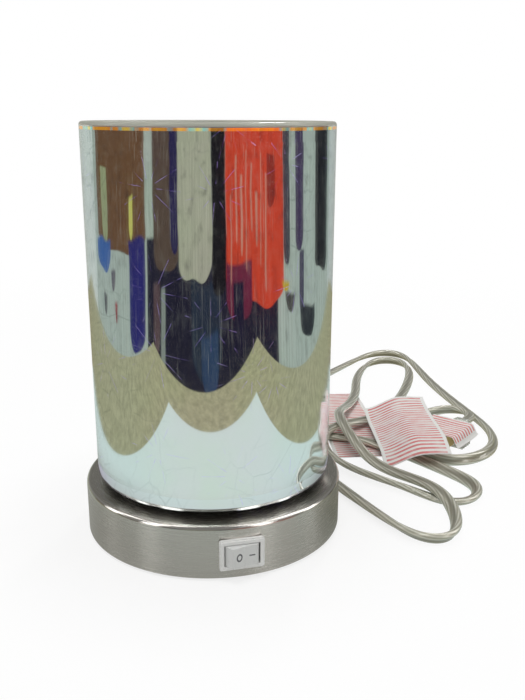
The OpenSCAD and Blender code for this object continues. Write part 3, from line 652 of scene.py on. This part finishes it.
def craze_lines(f, at, angle, z, cloud, hair):
    arc = angle * GLASS_R
    coarse = cracks(f, f.vector(arc + cloud * 0.02, z + cloud * 0.03), 42.0, 0.022)
    fine = cracks(f, f.vector(arc + cloud * 0.03 + hair * 0.006, z * 0.7 + cloud * 0.02), 105.0, 0.05)
    coarse = coarse * f.noise(at, 45.0, 2.0).steps(0.45, 0.70)
    fine = fine * f.noise(at, 32.0, 3.0).steps(0.42, 0.66)
    return (coarse * 0.30).maths("MAXIMUM", fine * 0.34)


print("glass radius", round(GLASS_R, 4), "m")

# %% [markdown]
# Where the coating ends under the rim, a thin line of changing colour shows, lifted by a painted glow in
# the same colours. At the rounded foot, painted glints set at fixed bearings stand in for reflections of
# small lights. Both are strong and narrow, so a little emission lifts them over the reflections; it also
# paints a faint highlight on the hairlines and a violet glow on the etched bursts. The coating itself is a
# metal with almost no roughness, tinted mint and lilac, and cooler where it is seen at a slant.

# %% The mirror coating
RIM_CLEAR = 2.2 * MM
COLOUR_LINE = 1.3 * MM
# Painted glints: bearings in degrees where bright glints are painted on the foot, standing for reflections of small
# lights.
PAINTED_FOOT_GLINTS = [(-138, -132), (-124.5, -115.5), (-89.5, -80.5), (-70, -64), (-24, -16),
               (22, 28), (65.5, 74.5), (107, 113), (151, 159)]
LINE_COLOURS = [(0.30, (0.86, 0.40, 0.05)), (0.42, (1.0, 0.52, 0.05)), (0.50, (0.90, 0.36, 0.06)),
                (0.55, (0.25, 0.66, 0.70)), (0.62, (1.0, 0.72, 0.10)), (0.70, (0.95, 0.80, 0.22))]


def stripes(value, spans, soft):
    total = 0.0
    for first, last in spans:
        past = abs(value - (first + last) / 2) - (last - first) / 2
        total = (1 - past.steps(-soft, soft)) + total
    return total.clamp()


# Painted glints: a thin bright line low on the foot, only at the listed bearings.
def painted_foot_glints(angle, z):
    up_from_foot = (z - glass_low.z) / MM
    low_line = up_from_foot.steps(0.3, 0.9) * (1 - up_from_foot.steps(1.9, 2.7))
    return stripes(angle * math.degrees(1), PAINTED_FOOT_GLINTS, 2.0) * low_line


def mirror_coating(f, at, angle, z, foot, cloud):
    hair = f.noise(f.vector(angle * 60.0, z * 90.0), 3.0, 6.0, 0.75)
    scratch = abs(hair - 0.5) < 0.004
    burst = etched_bursts(f, angle, z)
    slant = f.node("ShaderNodeLayerWeight", None, {"Blend": 0.5})["Facing"].steps(0.03, 0.17)
    plain = f.mix(cloud.steps(0.35, 0.66), (0.875, 0.930, 0.875), (0.92, 0.905, 0.94))
    tint = f.mix(slant * 0.75, plain, (0.85, 0.925, 0.97))
    crazed = craze_lines(f, at, angle, z, cloud, hair) * (0.45 + slant * 0.75)
    aged = f.mix(crazed, tint, (0.50, 0.58, 0.60))
    worn = f.mix(scratch * 0.3, aged, (0.95, 0.95, 0.96))
    etched = f.mix(burst * 0.5, worn, (0.62, 0.52, 0.92))
    line = (z > glass_high.z - RIM_CLEAR - COLOUR_LINE) * 0.85
    hue = f.node("ShaderNodeValToRGB", {"stops": LINE_COLOURS},
                 {0: f.noise(f.vector(angle * 4.0), 1.0, 3.0)})[0]
    # Painted glow by emission: a faint highlight on the hairlines, the glints at the foot, a glow in the colours of
    # the line under the rim, and a violet glow on the etched bursts.
    painted_hairline_glints = f.mix(scratch * 0.22, (0.0, 0.0, 0.0), (0.60, 0.58, 0.55))
    painted_glints = f.mix(painted_foot_glints(angle, z) * foot, painted_hairline_glints, (1.9, 2.0, 1.9))
    painted_glow = f.mix(burst * 0.75, f.mix(line, painted_glints, hue), (0.26, 0.12, 0.95))
    return f.gloss(Base_Color=f.mix(line, etched, hue), Metallic=1.0,
                   Roughness=0.015 + scratch * 0.10 + burst * 0.25, Specular_Tint=(0.93, 0.84, 1.0),
                   Emission_Color=painted_glow, Emission_Strength=0.45)


print("colour line", round(COLOUR_LINE / MM, 1), "mm wide")

# %% [markdown]
# Now the pieces of the finish go together. The coating covers the inner wall, and the outside of the
# rounded foot too, but there only on the side that faces out: a mirror on both sides would trap the light
# in a black ring. Seen from inside the cylinder the coating is a greyer lining. The rim is ground glass,
# dull and grey.

# %% Finish of the mirror glass
FOOT_HIGH, FOOT_DEEP = 7.5 * MM, 9.0 * MM
RIM_GROUND = 1.7 * MM


def mirror_glass_finish():
    f = new_finish("mirror_glass")
    at = f.place()
    out, angle, z = f.round_axis(at)
    below_rim = (z < glass_high.z - RIM_CLEAR) * (z > glass_low.z + 0.5 * MM)
    inner = (out < GLASS_R - GLASS_T * 0.9) * below_rim
    within = f.node("ShaderNodeNewGeometry")["Backfacing"]
    foot = (z < glass_low.z + FOOT_HIGH) * (out > GLASS_R - FOOT_DEEP) * (1 - within)
    cloud = f.noise(at, 26.0, 3.0)
    mirror = mirror_coating(f, at, angle, z, foot, cloud)
    clear = f.gloss(Base_Color=(0.97, 0.99, 0.985), Roughness=0.0, IOR=1.5, Transmission_Weight=1.0)
    coated = f.mix_shaders(inner.maths("MAXIMUM", foot), clear, mirror)
    lining = f.gloss(Base_Color=f.mix(cloud, (0.50, 0.50, 0.52), (0.62, 0.61, 0.64)),
                     Metallic=0.55, Roughness=0.22)
    lined = f.mix_shaders(inner * (1 - within) * 0.75, coated, lining)
    ground = f.gloss(Base_Color=f.mix(cloud, (0.46, 0.46, 0.39), (0.54, 0.54, 0.47)), Roughness=0.32)
    return f.done(f.mix_shaders((z > glass_high.z - RIM_GROUND) * 0.82, lined, ground))


paint(mirror_glass_finish(), "glass_shade")

# %% [markdown]
# ## Brushed base
# The base is turned sheet metal, brushed round its axis. An image of scratches could be wrapped round it,
# but noise that is stretched round the circle and fine across it gives the grain on the wall and on the
# top alike. The metal is anisotropic, so lights smear across the grain. The rounded corner is more
# polished, and the ledge under the glass is darker by painted shade in its colour.

# %% Finish of the brushed metal
shell_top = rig.box("base_shell")[1].z


def brushed_finish(name, light, dark, rough):
    f = new_finish(name)
    at = f.place()
    out, angle, z = f.round_axis(at)
    grain = f.noise(f.vector(angle * 1.2, out * 900.0, z * 900.0), 3.0, 4.0, 0.7)
    broad = f.noise(at, 22.0, 2.0)
    wall = f.mix(grain * 0.75 + broad * 0.25, dark, light)
    ledge = z > shell_top - 0.4 * MM
    corner = z.steps(shell_top - 3.0 * MM, shell_top - 1.6 * MM) * (1 - ledge)
    # Painted shade: the ledge under the glass is darkened in its colour.
    colour = f.mix(ledge * 0.36, wall, (0.17, 0.155, 0.09))
    return f.done(f.gloss(
        Base_Color=colour, Metallic=1.0, Roughness=rough + grain * 0.12 - corner * 0.12,
        Anisotropic=0.95, Anisotropic_Rotation=0.25, Normal=f.bump(grain, 0.115, 0.0003)))


paint(brushed_finish("brushed_nickel", (0.66, 0.63, 0.59), (0.42, 0.40, 0.37), 0.20), "base_shell")
paint(brushed_finish("zinc_steel", (0.70, 0.71, 0.72), (0.48, 0.49, 0.50), 0.30),
      "cover_posts", "cover_screws", "threaded_stem", "stem_nuts", "stem_washer", "switch_spring")

# %% [markdown]
# ## Small finishes
# The rest are moulded plastics, rubber, brass and cap metal. Each could be one flat colour, but even new
# mouldings are never perfectly even, so each gets a little variation in colour and roughness.

# %% Moulded and cast finishes
def moulded_finish(name, light, dark, rough, grain, strength, coat=0.0, metal=0.0):
    f = new_finish(name)
    at = f.place()
    speck = f.noise(at, grain, 3.0)
    broad = f.noise(at, 40.0)
    colour = f.mix(speck * 0.5 + broad * 0.5, dark, light)
    return f.done(f.gloss(
        Base_Color=colour, Metallic=metal, Roughness=rough + speck * 0.12, Coat_Weight=coat,
        Coat_Roughness=0.12, Normal=f.bump(speck, strength, 0.0002)))


paint(moulded_finish("black_plate", (0.035, 0.035, 0.037), (0.018, 0.018, 0.019), 0.45, 1500.0, 0.3),
      "bottom_cover")
paint(moulded_finish("black_rubber", (0.030, 0.030, 0.032), (0.014, 0.014, 0.015), 0.65, 2200.0, 0.3),
      "rubber_feet", "glass_seat")
paint(moulded_finish("black_holder", (0.040, 0.038, 0.036), (0.020, 0.019, 0.018), 0.38, 900.0, 0.15, 0.3),
      "holder_body", "clamp_ring", "bulb_insulator")
paint(moulded_finish("contact_brass", (0.80, 0.60, 0.28), (0.62, 0.44, 0.18), 0.24, 600.0, 0.1, 0.0, 1.0),
      "holder_shell", "holder_contact", "switch_arm", "switch_terminals", "plug_blades")
paint(moulded_finish("cap_metal", (0.74, 0.74, 0.73), (0.58, 0.58, 0.58), 0.28, 500.0, 0.1, 0.0, 1.0),
      "bulb_cap", "bulb_contact")
paint(moulded_finish("light_stick", (0.95, 0.72, 0.26), (0.85, 0.58, 0.16), 0.55, 900.0, 0.2),
      "bulb_filaments")
paint(moulded_finish("lead_black", (0.03, 0.03, 0.03), (0.02, 0.02, 0.02), 0.40, 700.0, 0.1),
      "cord_lead", "switched_lead")
paint(moulded_finish("lead_white", (0.82, 0.82, 0.80), (0.74, 0.74, 0.72), 0.40, 700.0, 0.1),
      "neutral_lead")
paint(moulded_finish("white_plastic", (0.84, 0.84, 0.825), (0.78, 0.78, 0.765), 0.24, 700.0, 0.05, 0.25),
      "switch_housing", "switch_plunger")

# %% [markdown]
# Clear pieces are glass and soft plastic. Both let light through, so their colour comes from a faint
# tint.

# %% Clear finishes
def clear_finish(name, light, dark, rough, ior, through):
    f = new_finish(name)
    swirl = f.noise(f.place(), 120.0, 2.0)
    return f.done(f.gloss(Base_Color=f.mix(swirl, dark, light), Roughness=rough + swirl * 0.05, IOR=ior,
                          Transmission_Weight=through))


paint(clear_finish("bulb_clear", (0.99, 0.99, 0.98), (0.96, 0.97, 0.96), 0.0, 1.45, 1.0),
      "bulb_glass", "bulb_mount")
paint(clear_finish("clear_vinyl", (0.90, 0.90, 0.84), (0.82, 0.82, 0.75), 0.12, 1.45, 0.75),
      "plug_body", "strain_relief", "cord_bushing")

# %% [markdown]
# ## The rocker's marks
# The rocker carries the two usual marks, a ring for off and a bar for on. They are ink on the plastic, so
# they are masks in the white finish: distances from each mark's middle, measured in the rocker's own
# place.

# %% Finish of the rocker
rocker_low, rocker_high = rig.box("switch_rocker")
rocker_mid = (rocker_low + rocker_high) / 2
RING_AT, RING_WIDE, RING_HIGH = -1.9 * MM, 1.45 * MM, 1.95 * MM
BAR_AT, BAR_WIDE, BAR_HIGH = 4.3 * MM, 1.4 * MM, 0.32 * MM
FACE_DEEP = 4.5 * MM


def rocker_finish():
    f = new_finish("white_rocker")
    at = f.place()
    x, y, z = f.parts(at)
    speck = f.noise(at, 700.0, 3.0)
    across, rise = x - rocker_mid.x, z - rocker_mid.z
    ring_x, ring_z = (across - RING_AT) / RING_WIDE, rise / RING_HIGH
    ring = abs((ring_x * ring_x + ring_z * ring_z).maths("SQRT") - 0.82) < 0.21
    bar = (abs(across - BAR_AT) < BAR_WIDE) * (abs(rise) < BAR_HIGH)
    ink = (ring + bar).clamp() * (y < rocker_low.y + FACE_DEEP)
    white = f.mix(speck, (0.66, 0.665, 0.655), (0.72, 0.725, 0.715))
    colour = f.mix(ink, white, (0.10, 0.10, 0.11))
    return f.done(f.gloss(Base_Color=colour, Roughness=0.24 + speck * 0.1, Coat_Weight=0.25,
                          Coat_Roughness=0.12))


paint(rocker_finish(), "switch_rocker")

# %% [markdown]
# ## Studio
# The floor is white to the camera and keeps a soft shadow. A mirror needs something to show, so rays that
# have been reflected see a studio drawn on the floor: a pale table top under the lamp, a bench round it,
# and coloured boards beyond. Straight edges turn into hanging curves in a round mirror. Real boards could
# stand round the lamp, but drawn ones cast no shade and need no room.
#
# A board is a span of bearings in degrees, a nearest and a farthest distance in metres, and a colour.
# Bearing 0 points to the camera. A board that ends at ENDLESS goes on up the wall behind.

# %% Table, bench and boards
FRONT = math.radians(101)
ENDLESS = 99
TABLE_SIDES = [(-103, 0.231), (-7, 0.174), (165, 0.160), (77, 0.260)]
BENCH_SIDES = [(-108, 0.312), (-18, 0.345), (176, 0.385), (77, 0.560)]
TABLE_TOP = (0.63, 0.715, 0.675)
# Painted shadow: tones of the drawn table top close to the lamp, darker than the table top further out.
SHADOW_NEAR_FRONT = (0.60, 0.635, 0.61)
SHADOW_NEAR_SIDE = (0.42, 0.43, 0.40)
SHADOW_NEAR_RIGHT = (0.20, 0.21, 0.17)
BENCH_TOP = (0.36, 0.345, 0.215)
PALE = (0.42, 0.475, 0.41)
BOARDS = [
    (-181, -126, 0.20, ENDLESS, (0.66, 0.70, 0.64)),
    (138, 181, 0.20, ENDLESS, (0.58, 0.61, 0.57)),
    (-58, 62, 0.20, 1.15, (0.014, 0.013, 0.030)),
    (-52, -46, 0.42, 0.75, (0.10, 0.06, 0.07)),
    (-45, -41, 0.34, 0.70, (0.26, 0.29, 0.27)),
    (-17, 9, 0.33, 0.72, (0.020, 0.030, 0.052)),
    (-9, 6, 0.30, 0.47, (0.030, 0.056, 0.120)),
    (-28, 2, 0.72, ENDLESS, (0.41, 0.41, 0.315)),
    (-51, -28, 0.80, ENDLESS, (0.100, 0.066, 0.052)),
    (-35, -28, 0.95, ENDLESS, (0.020, 0.016, 0.075)),
    (-120, -59, 0.95, ENDLESS, (0.150, 0.074, 0.036)),
    (-113, -104, 1.05, 3.2, (0.32, 0.35, 0.19)),
    (-122, -101, 0.78, 1.08, (0.050, 0.125, 0.340)),
    (-77, -60, 0.42, 1.12, (0.024, 0.022, 0.150)),
    (-76, -72, 1.12, 1.90, (0.60, 0.58, 0.14)),
    (2, 14, 0.60, ENDLESS, (0.008, 0.007, 0.010)),
    (14, 69, 0.60, ENDLESS, (0.62, 0.060, 0.028)),
    (14, 37, 0.50, 0.85, (0.150, 0.020, 0.050)),
    (20, 29, 0.36, 0.72, (0.012, 0.010, 0.030)),
    (52, 60, 1.60, 4.0, (0.30, 0.030, 0.020)),
    *[(18 + 4.6 * i, 18.8 + 4.6 * i + i % 3 * 0.5, 0.70 + (i * 5 % 7) * 0.07, 1.9 + (i * 3 % 5) * 0.7,
       (0.60, 0.27, 0.20)) for i in range(8)],
    (69, 76, 0.85, ENDLESS, (0.060, 0.055, 0.070)),
    (83, 93, 0.95, ENDLESS, (0.060, 0.040, 0.090)),
    (88, 94, 0.52, 0.95, (0.050, 0.040, 0.080)),
    (89, 110, 0.42, 0.56, (0.020, 0.024, 0.030)),
    (111, 134, 0.72, ENDLESS, (0.014, 0.015, 0.018)),
    (-113, -108, 0.52, 0.64, (0.050, 0.050, 0.060)),
    (-101, -95, 0.63, 0.78, (0.110, 0.095, 0.120)),
    (-96, -93, 0.47, 0.57, (0.330, 0.040, 0.050)),
    (70, 82, 0.58, 0.68, (0.060, 0.055, 0.050)),
    (66, 76, 0.68, 0.74, (0.560, 0.400, 0.030)),
]
print("boards", len(BOARDS))

# %% [markdown]
# Each board's near end is rounded, its sides sway a little, and streaks, smudges and thin glints lie over
# all of them, so that the reflection looks like a photographed one and not like cut paper.

# %% What a mirror sees of the boards
def inside(x, y, sides):
    worst = None
    for degrees, distance in sides:
        a = math.radians(degrees)
        past = x * math.cos(a) + y * math.sin(a) - distance
        worst = past if worst is None else worst.maths("MAXIMUM", past)
    return 1 - worst.steps(-0.002, 0.002)


def bearing_of(x, y):
    turned_x = x * math.cos(FRONT) - y * math.sin(FRONT)
    turned_y = x * math.sin(FRONT) + y * math.cos(FRONT)
    return turned_y.maths("ARCTAN2", turned_x) * math.degrees(1)


def board_mask(bearing, reach, first, last, near, far):
    middle, half = (first + last) / 2, (last - first) / 2
    grown = ((reach / near).maths("LOGARITHM", math.e) * 5.0).clamp()
    wide = (grown * (2 - grown)).maths("SQRT") * half
    held = (1 - (abs(bearing - middle) - wide).steps(-0.8, 0.8)) * reach.steps(near * 0.99, near * 1.02)
    return held if far == ENDLESS else held * (1 - reach.steps(far * 0.97, far * 1.03))


def boards(f, x, y, away, shown):
    straight = bearing_of(x, y)
    far_off = away.maths("LOGARITHM", math.e)
    sway = f.noise(f.vector(straight * 0.03, far_off * 1.1), 1.0, 2.0) - 0.5
    bob = f.noise(f.vector(straight * 0.045, far_off * 0.4, 7.0), 1.0, 0.6) - 0.5
    bearing = straight + sway * 3.0
    reach = away * (1 + bob * 0.45)
    view = PALE
    for *span, colour in shown:
        view = f.mix(board_mask(bearing, reach, *span), view, colour)
    streak = f.noise(f.vector(straight * 0.8, far_off * 0.7), 1.0, 6.0, 0.6).steps(0.30, 0.72)
    shaded = f.mix(0.5 - streak * 0.5, view, f.mix(0.5, view, (0.012, 0.010, 0.014)))
    smudge = f.noise(f.vector(straight * 0.16, far_off * 4.0, 5.0), 1.0, 6.0, 0.62)
    mottled = f.mix(smudge.steps(0.50, 0.78) * 0.17, shaded, (0.33, 0.33, 0.30))
    deep = f.mix((1 - smudge.steps(0.24, 0.50)) * 0.45, mottled, (0.030, 0.026, 0.030))
    glint = f.noise(f.vector(straight * 1.5, far_off * 0.9, 3.0), 1.0, 3.0, 0.6).steps(0.62, 0.68)
    return f.mix(glint * 0.40, deep, (0.52, 0.50, 0.43))


tall_boards = [board for board in BOARDS if board[3] == ENDLESS]
print("boards that go up the wall", len(tall_boards))

# %% [markdown]
# The floor is a wide disc. To the camera it is nearly white, a mix of matte white that takes the shadow
# and plain white light. Close to the lamp the drawn table top carries a painted shadow, a little darker in
# front, darker at the sides and darkest on the right, because that is what the brushed wall of the base
# shows.

# %% The floor
FLOOR_R, FLOOR_SIDES, FLOOR_DROP = 6.0, 96, 0.3 * MM


def toned(colour, share):
    return tuple(c * share for c in colour)


def table_and_bench(f, x, y, away):
    grain = f.noise(f.vector(x * 38.0, y * 80.0), 1.0, 6.0, 0.70).steps(0.34, 0.66)
    wood = f.mix(grain, toned(BENCH_TOP, 0.80), toned(BENCH_TOP, 1.17))
    beyond = f.mix(inside(x, y, BENCH_SIDES), boards(f, x, y, away, BOARDS), wood)
    # Painted shadow round the lamp: a little darker in front, darker at the sides, darkest on the right.
    side_shadow = f.mix(x.steps(0.0, 0.09), SHADOW_NEAR_SIDE, SHADOW_NEAR_RIGHT)
    near_shadow = f.mix(y.steps(-0.115, -0.005), SHADOW_NEAR_FRONT, side_shadow)
    sheet = f.mix(away.steps(0.085, 0.150), near_shadow, TABLE_TOP)
    return f.mix(inside(x, y, TABLE_SIDES), beyond, sheet)


def floor_finish():
    f = new_finish("floor")
    x, y, _ = f.parts(f.place())
    away = (x * x + y * y).maths("SQRT")
    path = f.node("ShaderNodeLightPath")
    matte = f.node("ShaderNodeBsdfDiffuse", None, {"Color": (0.90, 0.90, 0.90)})[0]
    seen = path["Is Camera Ray"].maths("MAXIMUM", path["Is Transmission Ray"])
    bright = 0.78 + away.steps(0.066, 0.140) * 0.18 + away.steps(0.30, 0.80) * 0.04
    lit = f.mix_shaders(seen * bright, matte, f.glow((1.0, 1.0, 1.0)))
    studio = f.glow(table_and_bench(f, x, y, away))
    return f.done(f.mix_shaders(path["Glossy Depth"] > 0.5, lit, studio))


def floor_disc(radius, sides):
    mesh = bpy.data.meshes.new("floor")
    kit = bmesh.new()
    bmesh.ops.create_circle(kit, cap_ends=True, segments=sides, radius=radius)
    kit.to_mesh(mesh)
    kit.free()
    disc = bpy.data.objects.new("floor", mesh)
    bpy.context.collection.objects.link(disc)
    return disc


floor = floor_disc(FLOOR_R, FLOOR_SIDES)
floor.location.z = -FLOOR_DROP
floor.data.materials.append(floor_finish())
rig.stage(floor)
print("floor", FLOOR_R, "m")

# %% [markdown]
# The world is white to the camera and a soft grey light for the rest. Reflections see the far boards low
# down and a dim ceiling with a few bright strips above, which break the long highlight on the base's
# corner into glints.

# %% The world
CEILING_LIGHTS = [(-104, -90), (-64, -48), (36, 51), (84, 100)]
WALL_AWAY = 60.0


def studio_world():
    world = bpy.data.worlds.new("studio")
    f = Finish(world)
    x, y, z = f.parts(f.node("ShaderNodeTexCoord")["Generated"])
    path = f.node("ShaderNodeLightPath")
    strips = stripes(bearing_of(x, y), CEILING_LIGHTS, 1.5)
    ceiling = f.mix(strips, (0.30, 0.305, 0.30), (3.4, 3.4, 3.4))
    far_boards = boards(f, x, y, z * 0.0 + WALL_AWAY, tall_boards)
    walls = f.mix(z.steps(0.01, 0.16), far_boards, ceiling)
    seen = path["Is Camera Ray"].maths("MAXIMUM", path["Is Transmission Ray"])
    plain = f.mix(seen, (0.39, 0.39, 0.38), (1.0, 1.0, 1.0))
    shown = f.mix(path["Glossy Depth"] > 0.5, plain, walls)
    back = f.node("ShaderNodeBackground", None, {"Color": shown, "Strength": 1.0})[0]
    f.node("ShaderNodeOutputWorld", None, {"Surface": back})
    return world


bpy.context.scene.world = studio_world()
print("world with", len(CEILING_LIGHTS), "ceiling strips")

# %% [markdown]
# Three soft lamps light the lamp itself: a wide key overhead, a weaker fill from the right, and a small
# one behind that makes the clear cord sparkle. The key is hidden from reflections, where the ceiling
# strips take its place.

# %% Lamps
LAMP_AIM = (0, 0, 0.08)


def soft_lamp(name, at, aim, size, watts):
    data = bpy.data.lights.new(name, "AREA")
    data.shape = "DISK"
    data.size = size
    data.energy = watts
    lamp = bpy.data.objects.new(name, data)
    bpy.context.collection.objects.link(lamp)
    lamp.location = at
    lamp.rotation_euler = (Vector(aim) - Vector(at)).to_track_quat("-Z", "Y").to_euler()
    return lamp


key = soft_lamp("key", (-0.30, -0.30, 1.6), LAMP_AIM, 0.8, 10.5)
key.visible_glossy = False
soft_lamp("fill", (0.9, -0.4, 1.1), LAMP_AIM, 0.8, 2.0)
soft_lamp("spark", (0.35, 0.55, 0.9), (0.12, 0.08, 0.0), 0.12, 1.6)
bpy.context.scene.view_settings.view_transform = "Standard"
print("studio ready")

# %% [markdown]
# ## Sizes
# The dressed lamp must stay in the box of its solids, so both boxes are written down for comparison.

# %% Write the boxes and finish
visual_box = [list(corner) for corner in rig.bounds()]
with open("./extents.json", "w") as handle:
    json.dump({"cad": cad_box, "visual": visual_box}, handle)
print("cad", cad_box, "visual", visual_box)
